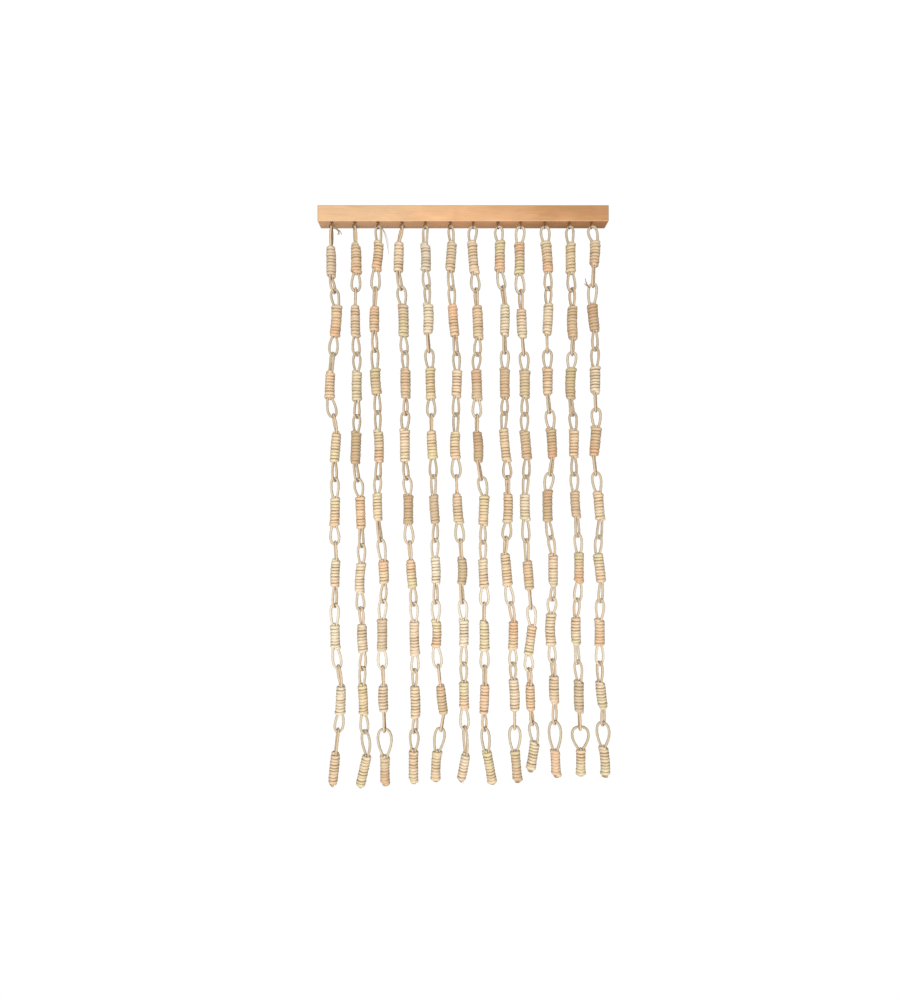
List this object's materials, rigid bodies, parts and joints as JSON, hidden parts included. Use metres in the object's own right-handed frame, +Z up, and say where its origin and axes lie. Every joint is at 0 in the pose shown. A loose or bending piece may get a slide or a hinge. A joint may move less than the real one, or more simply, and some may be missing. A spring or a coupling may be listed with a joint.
{
  "type": "rope link door curtain with wooden bar",
  "caption": "Door curtain of hanging chains of natural cord links, each bent into end loops and wrapped round its middle, on screw eyes under a square wooden bar.",
  "frame": {"origin": "middle of the bar's back face", "axes": "+Z up, the way the strands hang from; +Y out of the bar's back, towards the wall; +X along the bar to the viewer's right"},
  "size_m": [0.9132, 0.0637, 1.8198],
  "materials": {
    "bar_wood": "pale planed wood, satin",
    "hook_metal": "dark browned wire",
    "cord_fibre": "natural plant fibre cord, matte"
  },
  "bodies": {
    "root": {"bar": "bar_wood", "hook_01": "hook_metal", "hook_02": "hook_metal", "hook_03": "hook_metal", "hook_04": "hook_metal", "hook_05": "hook_metal", "hook_06": "hook_metal", "hook_07": "hook_metal", "hook_08": "hook_metal", "hook_09": "hook_metal", "hook_10": "hook_metal", "hook_11": "hook_metal", "hook_12": "hook_metal", "strand_01": "cord_fibre", "strand_02": "cord_fibre", "strand_03": "cord_fibre", "strand_04": "cord_fibre", "strand_05": "cord_fibre", "strand_06": "cord_fibre", "strand_07": "cord_fibre", "strand_08": "cord_fibre", "strand_09": "cord_fibre", "strand_10": "cord_fibre", "strand_11": "cord_fibre", "strand_12": "cord_fibre"}
  },
  "joints": []
}
